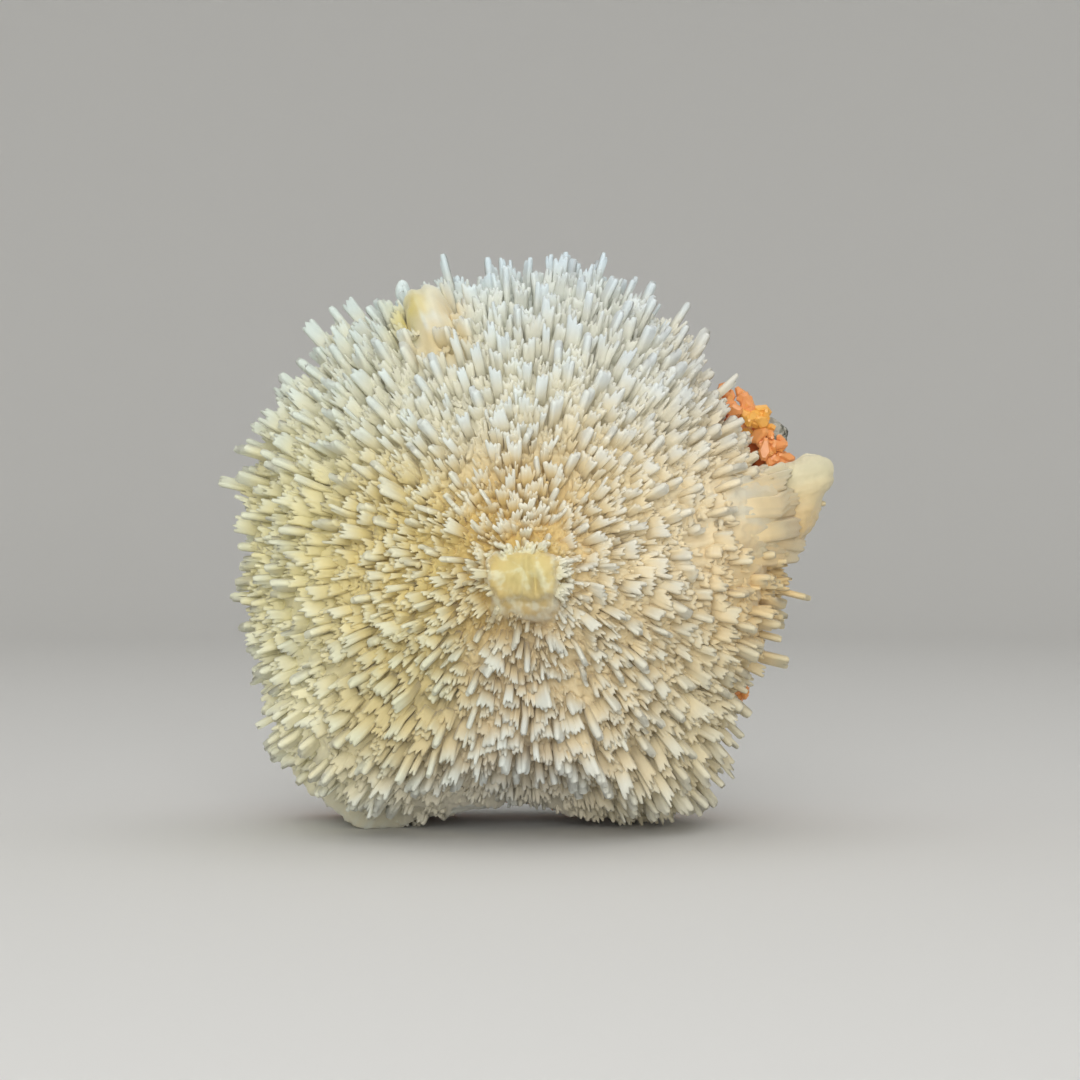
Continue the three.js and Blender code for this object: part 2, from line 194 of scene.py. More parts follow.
# The ribs that run from the dome over onto the lobe: the angles where they rise from the body, across and
# as a tilt, and how far sideways they end.
RIB_COUNT = 96
RIB_ACROSS = (3, 21)
RIB_TILT = (48, 62)
RIB_END = (37.0, 45.0)
RIB_DEPTH = 1.0  # of the foremost ribs' ends under the lobe's surface
RIB_LAYER = 5  # the others lie behind them, down to this much deeper

# The crust of heulandite with its crystals, and the slab of basalt.
CRUST_GRAIN = 0.85  # the size of the net of triangles
CRYSTAL_TRIES = 12000
CRYSTAL_COUNT = 1100
CRYSTAL_LENGTH = (1.8, 4.2)
CRYSTAL_SUNK = 0.24  # of its length, in the crust
CRYSTAL_HEIGHT = 2  # none stands lower than this
CRYSTAL_REACH = 0.6  # nor this near to the dome or the slab
# At the notch: how far from the view axis the druse and the slab reach, by angle across in degrees.
NOTCH_DRUSE = [(18, 45.6), (25, 46.6), (29, 45.4), (33, 46.2), (38, 45.0), (44, 42.8)]
NOTCH_SLAB = [(18, 45.5), (22, 47.4), (27, 49.2), (30.5, 47.6), (33, 44.6), (38, 43.0), (44, 42.0)]
NOTCH_START, NOTCH_END = (13, 17), (44, 50)  # the angles over which that comes in and ends
NOTCH_SHARE = 0.2  # what lies further out is drawn in to this share
NOTCH_CRYSTAL_COUNT = 70
NOTCH_CRYSTALS = (18, 42)  # the angles between which they stand
NOTCH_AMBER = (31.2, 35.5)  # the crystals between these angles are amber
NOTCH_GAP = (29.0, 31.0)  # and no crystal stands between these
# The spot of crystals that shows at the right below: angle across, distance sideways, y, spread.
SPOT = (-31, 41.0, 7.5, 1.0)
SPOT_CRYSTAL_COUNT = 12
SLAB_GRAIN = 0.8
SEAM_GAP = 1.0  # the crust and the slab are in touch where their solids are this near
SEAM_FILL = 0.25
PIT_COUNT = 420
PIT_RADIUS = (0.6, 2.0)
PIT_SHARE_FILLED = 0.45

# The floor, in metres.
FLOOR_RADIUS = 0.8
FLOOR_CURVE = 0.45
FLOOR_WALL = 1.4
FLOOR_STEPS = 12  # from the floor up to the wall
FLOOR_SIDES = 96


def towards(across, tilt):
    """Unit vectors from angles across the view, from +X towards +Z, and tilts off -Y, in degrees."""
    turn, tilt = np.broadcast_arrays(np.radians(across), np.radians(tilt))
    side = np.sin(tilt)
    return np.stack([side * np.cos(turn), -np.cos(tilt), side * np.sin(turn)], axis=-1)


def tilt_of(directions):
    """How far each direction tilts off -Y, in radians."""
    return np.arccos(np.clip(-directions[:, 1], -1, 1))


def unit(vectors):
    return vectors / np.linalg.norm(vectors, axis=-1, keepdims=True)


def smooth(values, low, high):
    """0 up to low, 1 from high on, and a smooth rise between."""
    share = np.clip((values - low) / (high - low), 0, 1)
    return share * share * (3 - 2 * share)


def linear(red, green, blue):
    """A colour given as 0 to 255 on screen, as linear light."""
    return np.array([(value / 255) ** 2.2 for value in (red, green, blue)])


# The colours of the tips and of the hollows between them, by place: across, tilt and spread in degrees. The
# darker, warmer hollow colours are partly the stone's own ochre and partly painted shade and painted glow of
# light in the crevices.
TINTS = [
    # These first rows give the top its cool blue-white tips: partly the stone's white, partly painted cool
    # light from above.
    (90, 88, 26, (216, 232, 240), (222, 229, 224)),
    (60, 60, 22, (220, 229, 232), (226, 226, 212)),
    (130, 80, 24, (217, 229, 222), (226, 226, 204)),
    (95, 45, 20, (224, 233, 230), (226, 222, 198)),
    (175, 75, 26, (222, 224, 196), (228, 220, 166)),
    (215, 80, 26, (230, 232, 208), (240, 235, 198)),
    (180, 28, 18, (230, 226, 194), (222, 202, 134)),
    (90, 12, 14, (240, 238, 220), (216, 182, 106)),
    (45, 30, 16, (236, 232, 216), (230, 211, 164)),
    (270, 40, 20, (218, 224, 220), (210, 192, 162)),
    (255, 72, 20, (214, 218, 212), (215, 209, 189)),
    (320, 62, 24, (220, 216, 193), (229, 217, 181)),
    (300, 30, 16, (227, 225, 210), (228, 213, 171)),
    (0, 72, 24, (222, 206, 162), (232, 202, 144)),
    (20, 40, 20, (225, 222, 206), (235, 220, 185)),
    (35, 80, 18, (222, 218, 204), (234, 220, 188)),
    (270, 2, 5, (214, 208, 152), (206, 194, 130)),
    # The grey-tan below the boss is painted shade on its under-slope.
    (270, 9, 5, (191, 181, 153), (166, 140, 92)),
    (270, 24, 12, (216, 220, 210), (206, 184, 142)),
    (310, 34, 14, (218, 215, 194), (212, 190, 146)),
    (228, 38, 14, (219, 219, 182), (206, 190, 132)),
    # The dark ochre hollows low at the left of the middle are partly the stone's ochre and partly painted
    # shade.
    (225, 12, 7, (222, 212, 170), (190, 160, 92)),
    (113.5, 71, 3.6, (222, 215, 150), (206, 188, 84)),
    (108.5, 70, 3.2, (228, 221, 194), (224, 202, 150)),
    (110, 60, 4, (226, 224, 206), (218, 198, 146)),
    # The darker tan by the lobe's lower edge is partly the stone's tan and partly painted shade in the
    # hollow there.
    (10, 82, 5, (196, 168, 118), (206, 174, 118)),
    (17, 86, 5, (208, 203, 168), (216, 206, 166)),
    (14, 76, 7, (222, 202, 157), (231, 206, 155)),
]


def tints_at(directions):
    """The tip colour and the hollow colour, which carries painted crevice shade, for each direction."""
    across, tilt, spread = np.array([tint[:3] for tint in TINTS]).T
    middles = towards(across, tilt)
    spreads = np.radians(spread)
    away = np.arccos(np.clip(directions @ middles.T, -1, 1))
    weights = np.exp(-((away / spreads) ** 2)) / spreads
    weights += 1e-6
    weights /= weights.sum(axis=1, keepdims=True)
    tips = np.array([linear(*tip) for *_, tip, _ in TINTS])
    hollows = np.array([linear(*hollow) for *_, hollow in TINTS])
    return weights @ tips, weights @ hollows


def node_solid(name):
    """A CAD node's corners in millimetres, each once, and its triangles."""
    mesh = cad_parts[name].data
    mesh.calc_loop_triangles()
    places = np.empty(len(mesh.vertices) * 3, np.float32)
    mesh.vertices.foreach_get("co", places)
    triangles = np.empty(len(mesh.loop_triangles) * 3, np.int32)
    mesh.loop_triangles.foreach_get("vertices", triangles)
    corners, index = np.unique(np.round(places.reshape(-1, 3) / MM, 3), axis=0, return_inverse=True)
    return corners, index.reshape(-1)[triangles].reshape(-1, 3)


def tree_of(corners, triangles):
    return BVHTree.FromPolygons(corners.tolist(), triangles.tolist())


def in_lobe(places, size):
    """True for places in an ellipsoid of that size round the lobe's middle, given from the growth centre."""
    return (((places - LOBE_MIDDLE) / size) ** 2).sum(axis=1) < 1


class Tips:
    """The tips of the solid's spines: their direction, reach, and half of the blunt edge they end in."""

    def __init__(self, corners, triangles):
        places = corners - CENTRE
        reach = np.linalg.norm(places, axis=1)
        edges = np.concatenate([triangles[:, [0, 1]], triangles[:, [1, 2]], triangles[:, [2, 0]]])
        edges = np.concatenate([edges, edges[:, ::-1]])
        highest = np.zeros(len(corners))
        np.maximum.at(highest, edges[:, 0], reach[edges[:, 1]])
        peak = (reach >= highest - 0.02) & (reach > LEAST_REACH) & (corners[:, 2] > LEAST_HEIGHT)
        peak &= ~in_lobe(places, LOBE_SIZE)
        pairs = edges[peak[edges[:, 0]] & peak[edges[:, 1]] & (edges[:, 0] < edges[:, 1])]
        pairs = np.unique(pairs, axis=0)
        middles = (places[pairs[:, 0]] + places[pairs[:, 1]]) / 2
        halves = (places[pairs[:, 0]] - places[pairs[:, 1]]) / 2
        single = peak.copy()
        single[pairs.ravel()] = False
        singles = places[single]
        aside = unit(np.cross(singles, np.array([0.3, 0.5, 0.8]))) * POINT_HALF
        self.middles = np.concatenate([middles, singles])
        self.halves = np.concatenate([halves, aside])
        self.reach = np.linalg.norm(self.middles, axis=1)
        self.directions = unit(self.middles)

    def level(self, directions, softness=TIP_SOFTNESS):
        """The reach of the tips around each direction, and the nearest tip's nearness as a cosine."""
        levels = np.empty(len(directions))
        nearest = np.empty(len(directions))
        for start in range(0, len(directions), 4000):
            part = slice(start, start + 4000)
            nearness = directions[part] @ self.directions.T
            nearest[part] = nearness.max(axis=1)
            weights = np.exp((nearness - nearest[part][:, None]) / softness ** 2)
            levels[part] = (weights @ self.reach) / weights.sum(axis=1)
        return levels, nearest


def spread_directions(count):
    """An even spread of directions over a ball."""
    step = np.arange(count)
    y = 1 - (2 * step + 1) / count
    side = np.sqrt(1 - y * y)
    turn = step * math.pi * (3 - math.sqrt(5))
    return np.stack([side * np.cos(turn), y, side * np.sin(turn)], axis=1)


def lump_shares(directions):
    """How far each direction lies inside each lump: 1 over most of it, and 0 outside."""
    shares = []
    uneven = LUMP_RAGGEDNESS * noise_at(directions * TIP_REACH, 3.0)
    for across, tilt, half_width, half_length, softness, _, _ in LUMPS:
        middle = towards(across, tilt)
        round_about = unit(np.cross(middle, np.array([0, -1, 0])))
        sideways = directions @ round_about / half_width
        lengthways = directions @ np.cross(round_about, middle) / half_length
        away = np.abs(sideways) ** LUMP_BOXINESS + np.abs(lengthways) ** LUMP_BOXINESS
        away = away ** (1 / LUMP_BOXINESS) + 3 * (directions @ middle < 0.5) + uneven
        shares.append(1 - smooth(away, 1 - softness, 1 + 0.4 * softness))
    return np.array(shares)


class Break:
    """The faces along which the dome was broken off or grown against its neighbour."""

    def __init__(self, dome, neighbour):
        self.dome = tree_of(*dome)
        self.neighbour = tree_of(*neighbour)

    def reach(self, direction):
        """The distance to the broken face in a direction, or None where the spines are whole."""
        place, normal, _, distance = self.dome.ray_cast(Vector(CENTRE), Vector(direction))
        if place is None:
            return None
        under = place.z < BREAK_TOP and normal.z < BREAK_SLOPE and normal.dot(Vector(direction)) > 0.4
        at_seam = self.neighbour.find_nearest(place, SEAM_REACH)[0] is not None
        return distance if under or at_seam else None

    def reaches(self, directions):
        """The same for many directions, with infinity where the spines are whole."""
        found = [self.reach(direction) for direction in directions.tolist()]
        return np.array([math.inf if distance is None else distance for distance in found])


def at_rim(directions):
    """0 round the middle of the dome, and 1 towards its rim."""
    return smooth(directions[:, 1], -0.87, -0.5)


def body_reach(directions, tips, broken):
    """The distance from the growth centre to the body under the needles."""
    level, _ = tips.level(directions, BODY_SOFTNESS)
    in_lumps, _ = tips.level(directions, LUMP_SOFTNESS)
    depth = BODY_DEPTH + RIM_BODY_DEPTH * at_rim(directions)
    reach = level - depth + (depth - BODY_DEPTH_WHERE_FUSED) * grown_together(directions)
    for (*_, depth, face), share in zip(LUMPS, lump_shares(directions)):
        reach += np.maximum((face or in_lumps - depth) - reach, 0) * share
    across = np.degrees(np.arctan2(directions[:, 2], directions[:, 0]))
    near_lobe = np.exp(-((across - SWELL_ACROSS) / SWELL_SPREAD) ** 2)
    reach += SWELL * near_lobe * smooth(directions[:, 1], -0.6, -0.25)
    return np.minimum(reach, broken)


def grown_together(directions):
    """How far the blades are grown together in each direction, from 0 to 1."""
    share = lump_shares(directions).max(axis=0)
    for across, tilt, spread, most in FUSED:
        away = np.arccos(np.clip(directions @ towards(across, tilt), -1, 1)) / math.radians(spread)
        share = np.maximum(share, most * np.exp(-away ** 2))
    return share


def stands(tips, broken_faces):
    """Where the blades stand: direction, reach, the way of the long side, and the lean."""
    random = np.random.default_rng(7)
    even = spread_directions(FILLER_COUNT)
    spacing = math.sqrt(4 * math.pi / FILLER_COUNT)
    fillers = unit(even + random.normal(0, FILLER_JITTER * spacing, even.shape))
    level, nearest = tips.level(fillers)
    off_middle = np.degrees(tilt_of(fillers))
    kept = random.random(len(fillers)) < np.interp(off_middle, *zip(*FILLER_SHARES))
    kept &= np.arccos(np.clip(nearest, -1, 1)) * level > FILLER_GAP
    kept &= random.random(len(fillers)) > SHARE_LOST_WHERE_FUSED * grown_together(fillers)
    kept &= ~in_lobe(fillers * level[:, None], LOBE_BARE_SIZE)
    fillers = fillers[kept]
    level = level[kept]
    fused = grown_together(fillers)
    between = 0.5 - 0.5 * noise_at(fillers * TIP_REACH, CLUSTER_SIZE)
    drop = 0.1 + FILLER_DROP * random.random(len(fillers)) ** 1.5 + CLUSTER_DROP * between
    drop *= 1 - DROP_LOST_WHERE_FUSED * fused
    drop *= 1 + RIM_DROP * smooth(off_middle[kept], RIM_FROM, RIM_TO)
    turned = 0.25 + 0.25 * (1 - smooth(off_middle[kept], 15, 45))
    round_about = unit(np.cross(fillers, np.array([0, -1, 0])))
    round_about += turned[:, None] * random.normal(0, 1, fillers.shape)
    directions = np.concatenate([tips.directions, fillers])
    reach = np.concatenate([tips.reach, level - drop])
    long_ways = np.concatenate([tips.halves, round_about])
    lean = np.concatenate([np.zeros(len(tips.reach)), np.full(len(fillers), BLADE_TILT)])
    broken = broken_faces.reaches(directions)
    whole = broken > reach - BODY_DEPTH - RIM_BODY_DEPTH
    whole &= lump_shares(directions).max(axis=0) < BARE_SHARE
    return directions[whole], reach[whole], long_ways[whole], lean[whole]


def blades_of(tips, broken_faces):
    """Every blade, as arrays by name."""
    random = np.random.default_rng(19)
    directions, reach, long_ways, lean = stands(tips, broken_faces)
    count = len(directions)
    level, _ = tips.level(directions)
    fused = grown_together(directions)
    facing = 1 - smooth(directions[:, 1], -0.97, -0.72)
    left = smooth(-directions[:, 0], 0.3, 0.9)
    off_middle = tilt_of(directions)
    outwards = unit(directions * np.array([1, 0, 1]))
    lean_out = LEAN_OUT * smooth(off_middle, 0.02, 0.28) * (1 - smooth(off_middle, 0.65, 1.4))
    lean_out += LEAN_WHERE_FUSED * fused * (1 - smooth(off_middle, 1.2, 1.6))
    way = unit(
        directions + lean_out[:, None] * outwards + lean[:, None] * random.normal(0, 1, directions.shape)
    )
    cut = np.minimum(reach, broken_faces.reaches(directions) - 0.1)
    length = cut - body_reach(directions, tips, broken_faces.reaches(directions)) + ROOT_DEPTH
    length /= (way * directions).sum(axis=1)
    tip = directions * cut[:, None]
    # Blades are wider in front, at the left and where they are fused, and more ragged in front.
    wide = 0.5 + 0.6 * facing + 0.35 * left + 0.5 * fused
    crumb = (random.random(count) < CRUMB_SHARE) & (facing > 0.3) & (lean > 0)
    size = np.where(crumb, 0.55, 1.0) * random.uniform(0.85, 1.2, count)
    outer = smooth(off_middle, 0.5, 1.1)
    size *= 1 + RIM_SIZE * outer
    blades = {
        "tip": tip,
        "root": tip - way * np.maximum(length, 0.1)[:, None],
        "long_way": long_ways,
        "teeth": np.clip(np.round(2 + 2.2 * wide * random.random(count) + 0.3), 2, 5).astype(int),
        "spacing": size * random.uniform(0.5, 0.72, count) * (1 + 0.1 * facing + 0.25 * fused),
        "half": size * random.uniform(0.45, 0.65, count) * (1 - 0.3 * facing),
        "ragged": size * random.uniform(0.5, 1.0, count) * (1 + 0.7 * facing + 0.4 * outer),
        "flare": np.clip(0.12 + 0.35 * facing + 0.2 * left, 0, 0.5) * (1 - 0.6 * outer),
        "level": level,
        "tone": random.normal(0, 1, count),
    }
    return {name: values[length > SHORTEST_BLADE] for name, values in blades.items()}


def single_blades(random, tip, root, long_way, teeth, spacing, half, ragged, flare=0.0, tone=0.0):
    """Blades from given tips and roots, with the rest drawn between the given limits."""
    count = len(tip)
    return {
        "tip": tip,
        "root": root,
        "long_way": long_way,
        "teeth": random.integers(*teeth, count),
        "spacing": random.uniform(*spacing, count),
        "half": random.uniform(*half, count),
        "ragged": random.uniform(*ragged, count),
        "flare": np.full(count, flare),
        "level": np.linalg.norm(tip, axis=1),
        "tone": random.normal(tone, 1, count),
    }


def fringe_of():
    """The flakes round the upper edge of the boss, as blades."""
    random = np.random.default_rng(29)
    across, tilt, half_width, half_length, *_, reach = LUMPS[BOSS]
    turn = np.radians(random.uniform(*FRINGE_TURN, FRINGE_COUNT))
    side = np.stack([half_width * np.cos(turn), 0 * turn, half_length * np.sin(turn)], axis=1)
    directions = unit(towards(across, tilt) + side * random.uniform(*FRINGE_PLACE, (FRINGE_COUNT, 1)))
    outwards = unit(side)
    tip = directions * (reach - random.uniform(*FRINGE_DROP, FRINGE_COUNT))[:, None]
    root = tip - unit(directions + FRINGE_LEAN * outwards) * FRINGE_LENGTH
    long_way = np.cross(outwards, np.array([0, -1, 0]))
    blades = single_blades(
        random, tip, root, long_way, (2, 6), (0.5, 0.8), (0.35, 0.6), (0.8, 1.6), flare=0.45, tone=0.5,
    )
    return blades | {"level": np.full(FRINGE_COUNT, reach - 1.5)}


def prongs_of():
    """The prongs on the lobe's lower edge, as blades."""
    random = np.random.default_rng(37)
    count = len(PRONGS)
    tip = np.stack([PRONGS[:, 0], PRONG_Y + random.uniform(-1, 1, count), PRONGS[:, 1]], axis=1)
    way = unit(np.array([1, 0, -0.2]) + random.normal(0, 0.1, (count, 3)))
    long_way = random.normal(0, 1, (count, 3))
    root = tip - way * PRONG_LENGTH
    return single_blades(random, tip, root, long_way, (2, 4), (0.45, 0.6), (0.35, 0.5), (0.6, 1.2))


def ribs_of(tips, dome_tree):
    """The ribs that run from the dome over onto the lobe, as blades."""
    random = np.random.default_rng(43)
    across = random.uniform(*RIB_ACROSS, RIB_COUNT)
    tilt = random.uniform(*RIB_TILT, RIB_COUNT)
    directions = towards(across, tilt)
    reach = body_reach(directions, tips, np.full(RIB_COUNT, np.inf))
    root = directions * (reach - ROOT_DEPTH)[:, None]
    tip = towards(across, 90) * random.uniform(*RIB_END, (RIB_COUNT, 1))
    sunk = RIB_DEPTH + RIB_LAYER * random.random(RIB_COUNT) ** 2
    for place, depth in zip(tip, sunk):
        x, _, z = place + CENTRE
        hit = dome_tree.ray_cast(Vector((x, -60, z)), Vector((0, 1, 0)))[0]
        place[1] = hit.y - CENTRE[1] + depth if hit else PRONG_Y
    long_way = np.cross(unit(tip - root), np.array([0, -1, 0]))
    return single_blades(random, tip, root, long_way, (2, 5), (0.7, 1.1), (0.5, 0.85), (0.8, 2.0))


def blade_outline(teeth):
    """The corners round a blade's cross-section: along it in tooth spacings, aside as a share of its half
    thickness, and the number of the tooth or notch that each belongs to."""
    stations = np.arange(2 * teeth - 1)
    along = (stations - teeth + 1) / 2
    thickness = np.where(stations % 2, NOTCH_THICKNESS, 1.0)
    end = along[-1] + BLADE_END
    return (
        np.concatenate([[-end], along, [end], along[::-1]]),
        np.concatenate([[0], -thickness, [0], thickness[::-1]]),
        np.concatenate([[0], stations, stations[-1:], stations[::-1]]),
    )


def blade_drops(teeth, ragged, random):
    """How far each tooth and notch of each blade ends below its highest tooth."""
    place = np.arange(teeth) - (teeth - 1) / 2
    drop = 0.1 * place ** 2 + ragged[:, None] * random.random((len(ragged), teeth)) ** 1.4
    drop += 0.35 * ragged[:, None] * place * random.normal(0, 1, len(ragged))[:, None]
    drop -= drop.min(axis=1, keepdims=True)
    notch = np.maximum(drop[:, 1:], drop[:, :-1])
    drops = np.zeros((len(ragged), 2 * teeth - 1))
    drops[:, ::2] = drop
    drops[:, 1::2] = notch + ragged[:, None] * random.uniform(0.15, 0.7, notch.shape)
    return drops


def blade_rings(blades, teeth, random):
    """The five rings of corners of blades with that many teeth: root, waist, neck, shoulder and top."""
    count = len(blades["tip"])
    along, aside, station = blade_outline(teeth)
    half = blades["half"][:, None]
    flare = blades["flare"][:, None]
    along = blades["spacing"][:, None] * (along + random.normal(0, 0.07, (count, len(along))))
    aside = half * aside * random.uniform(0.82, 1.18, (count, len(aside)))
    way = blades["tip"] - blades["root"]
    length = np.linalg.norm(way, axis=1)[:, None]
    way = way / length
    drop = np.minimum(blade_drops(teeth, blades["ragged"], random)[:, station], 0.5 * length)
    bevel = np.minimum(1.1 * half, 0.35 * length)
    short_way = unit(np.cross(way, blades["long_way"]))
    long_way = np.cross(short_way, way)
    bend = random.normal(0, 0.03, (count, 2)) * length
    top = random.uniform(0.4, 0.7, (count, 1))
    rings = []
    for down, width, thickness, bent in (
        (length, 1 - flare, 0.8, 0),
        (0.5 * (length + drop), 1 - 0.45 * flare, 1.0, 1),
        (drop + bevel, 1.0, 1.0, 0),
        (drop + 0.3 * bevel, 0.98, 0.5 + 0.5 * top, 0),
        (drop, 0.86, top, 0),
    ):
        x = along * width + bent * bend[:, :1]
        y = aside * thickness + bent * bend[:, 1:]
        down = np.broadcast_to(down, x.shape)
        rings.append(
            blades["tip"][:, None] - down[:, :, None] * way[:, None]
            + x[:, :, None] * long_way[:, None] + y[:, :, None] * short_way[:, None]
        )
    return np.stack(rings, axis=1).reshape(-1, 3)


def bands(sides, rings):
    """The triangles between that many closed rings, with so many corners in each."""
    side = np.arange(sides)
    after = np.roll(side, -1)
    faces = []
    for ring in range(rings - 1):
        faces.append(np.stack([side, after, after + sides], axis=1) + ring * sides)
        faces.append(np.stack([side, after + sides, side + sides], axis=1) + ring * sides)
    return np.concatenate(faces)


def fan(corner, ring):
    """The triangles from a corner to a closed ring."""
    return np.stack([np.full(len(ring), corner), ring, np.roll(ring, -1)], axis=1)


def blade_faces(teeth):
    """The triangles of a blade."""
    corners = 4 * teeth
    step = np.arange(corners // 2 - 1)
    cap = np.concatenate([
        np.stack([step, step + 1, corners - 1 - step], axis=1),
        np.stack([step + 1, corners - 2 - step, corners - 1 - step], axis=1),
    ])
    return np.concatenate([bands(corners, BLADE_RINGS), cap[:, ::-1], cap + (BLADE_RINGS - 1) * corners])


def inside_box(places):
    """The places moved inside the solids' box, given and returned from the frame's origin."""
    low = np.array(cad_bounds[0]) / MM + 0.02
    high = np.array(cad_bounds[1]) / MM - 0.02
    low[2] = 0
    return np.clip(places, low, high)


def add_object(name, data):
    thing = bpy.data.objects.new(name, data)
    bpy.context.scene.collection.objects.link(thing)
    return thing


def new_piece(name, places, faces, material, node):
    """A mesh from corners in millimetres from the frame's origin, which stands for a CAD node."""
    mesh = bpy.data.meshes.new(name)
    mesh.from_pydata((inside_box(places) * MM).tolist(), [], faces.tolist(), shade_flat=False)
    mesh.update()
    mesh.materials.append(material)
    piece = add_object(name, mesh)
    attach(piece, "root")
    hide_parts(node)
    return piece


def add_colour(mesh, name, colours):
    attribute = mesh.attributes.new(name, "FLOAT_COLOR", "POINT")
    with_alpha = np.concatenate([colours, np.ones((len(colours), 1))], axis=1)
    attribute.data.foreach_set("color", with_alpha.astype(np.float32).ravel())


def add_value(mesh, name, values):
    attribute = mesh.attributes.new(name, "FLOAT", "POINT")
    attribute.data.foreach_set("value", values.astype(np.float32))


def dress(piece, places, levels, tones):
    """Gives a mordenite piece its tints and depths: the deeper below the tips, the more of the hollow colour
    with its painted shade. The places are from the growth centre.
    """
    reach = np.linalg.norm(places, axis=1)
    directions = places / reach[:, None]
    tip_tint, hollow_shade_tint = tints_at(directions)
    stains = 0.5 + 0.9 * streaks(directions, STAIN_WIDTH, STAIN_LENGTH) + 0.1 * tones
    stained = grown_together(directions) * np.clip(stains, 0, 1) * STAIN
    add_colour(piece.data, "tip_tint", tip_tint)
    add_colour(piece.data, "hollow_shade_tint", hollow_shade_tint)
    deepest = BODY_DEPTH + 0.5 * RIM_BODY_DEPTH * at_rim(directions)
    add_value(piece.data, "depth", np.clip((levels - reach) / deepest + stained, 0, 1))
    add_value(piece.data, "tone", tones)


def make_blades(tips, broken_faces, material):
    """The blades, in pieces that each take in a sector of the dome."""
    random = np.random.default_rng(23)
    kinds = [
        blades_of(tips, broken_faces), fringe_of(), prongs_of(), ribs_of(tips, broken_faces.dome),
    ]
    blades = {name: np.concatenate([kind[name] for kind in kinds]) for name in kinds[0]}
    sector = np.argsort(np.arctan2(blades["tip"][:, 2], blades["tip"][:, 0]))
    for number, part in enumerate(np.array_split(sector, PIECE_COUNT), 1):
        places, faces, levels, tones = [], [], [], []
        first = 0
        for teeth in range(2, 6):
            chosen = part[blades["teeth"][part] == teeth]
            group = {name: values[chosen] for name, values in blades.items()}
            one = blade_faces(teeth)
            corners = 4 * teeth * BLADE_RINGS
            starts = first + corners * np.arange(len(chosen))
            places.append(blade_rings(group, teeth, random))
            faces.append((one[None] + starts[:, None, None]).reshape(-1, 3))
            levels.append(np.repeat(group["level"], corners))
            tones.append(np.repeat(group["tone"], corners))
            first += len(places[-1])
        places = np.concatenate(places)
        faces = np.concatenate(faces)
        piece = new_piece(f"mordenite_blades_{number}", places + CENTRE, faces, material, "mordenite")
        dress(piece, places, np.concatenate(levels), np.concatenate(tones))


def ball(detail):
    """The corners and triangles of an even ball."""
    shape = bmesh.new()
    bmesh.ops.create_icosphere(shape, subdivisions=detail, radius=1)
    corners = np.array([corner.co for corner in shape.verts])
    faces = np.array([[corner.index for corner in face.verts] for face in shape.faces])
    shape.free()
    return unit(corners), faces


def noise_at(places, size, octaves=3):
    """Smooth noise from -1 to 1 whose lumps are about `size` across."""
    scaled = (places / size).tolist()
    return np.array([noise.fractal(place, 0.9, 2.1, octaves) for place in scaled])


def streaks(directions, width, length):
    """The same for directions, with lumps of that width, drawn out from the middle of the dome."""
    tilt = tilt_of(directions)
    turn = np.arctan2(directions[:, 2], directions[:, 0])
    side = np.minimum(1.5 * np.sin(tilt), 1)
    places = np.stack([side * np.cos(turn), side * np.sin(turn), width / length * tilt], axis=1)
    return noise_at(places, width / TIP_REACH)


def polar_net():
    """A closed net of directions in rings round -Y, and its triangles."""
    close = BODY_RIM * np.linspace(0, 1, BODY_ROWS + 1)[1:] ** 1.25
    wide = np.linspace(BODY_RIM, 180, BODY_BACK_ROWS + 2)[1:-1]
    tilts = np.concatenate([close, wide])
    column = np.arange(BODY_COLUMNS)
    rings = towards(360 * column / BODY_COLUMNS, tilts[:, None]).reshape(-1, 3)
    front = len(rings)
    faces = np.concatenate([
        bands(BODY_COLUMNS, len(tilts))[:, ::-1],
        fan(front, column),
        fan(front + 1, front - 1 - column),
    ])
    return np.concatenate([rings, [[0, -1, 0], [0, 1, 0]]]), faces


def make_body(tips, broken_faces, material):
    """The body under the blades, fluted outwards from the middle, with the broken underside."""
    directions, faces = polar_net()
    broken = broken_faces.reaches(directions)
    reach = body_reach(directions, tips, broken)
    at_break = np.isfinite(broken) & (reach > broken - 0.01)
    flutes = streaks(directions, FLUTE_WIDTH, FLUTE_LENGTH)
    rough = noise_at(directions * TIP_REACH, 1.6, 2)
    places = directions * reach[:, None]
    lumps = lump_shares(directions)
    fibrous = noise_at(places / BOSS_FIBRES, 1.0, 1) * lumps[BOSS]
    resting = smooth(places[:, 2] + CENTRE[2], 0.3, 2.5)
    at_middle = 1 - smooth(tilt_of(directions), 0.15, 0.5)
    relief = BODY_FLUTES * flutes * (1 - at_middle) * (1 - 0.6 * lumps[BESIDE_LOBE])
    relief += BODY_ROUGHNESS * rough * (1 + at_middle) * (1 - 0.85 * grown_together(directions))
    relief += BOSS_RELIEF * fibrous
    broken_relief = BREAK_ROUGHNESS * np.abs(rough) * (0.15 + 0.85 * resting)
    lowered = np.where(at_break, broken_relief, relief)
    from_crease = (places[:, [0, 2]] - CREASE) / CREASE_SIZE
    lowered += CREASE_DEPTH * np.exp(-(from_crease ** 2).sum(axis=1)) * (directions[:, 1] < 0)
    places = directions * (reach - lowered)[:, None]
    piece = new_piece("mordenite_body", places + CENTRE, faces, material, "mordenite")
    level, _ = tips.level(directions, BODY_SOFTNESS)
    # The broken faces and the boss get a little of the hollow colour's painted shade.
    level = np.where(at_break | (lumps[BOSS] > 0.5), reach + BARE_DEPTH, level)
    dress(piece, places, level, flutes)


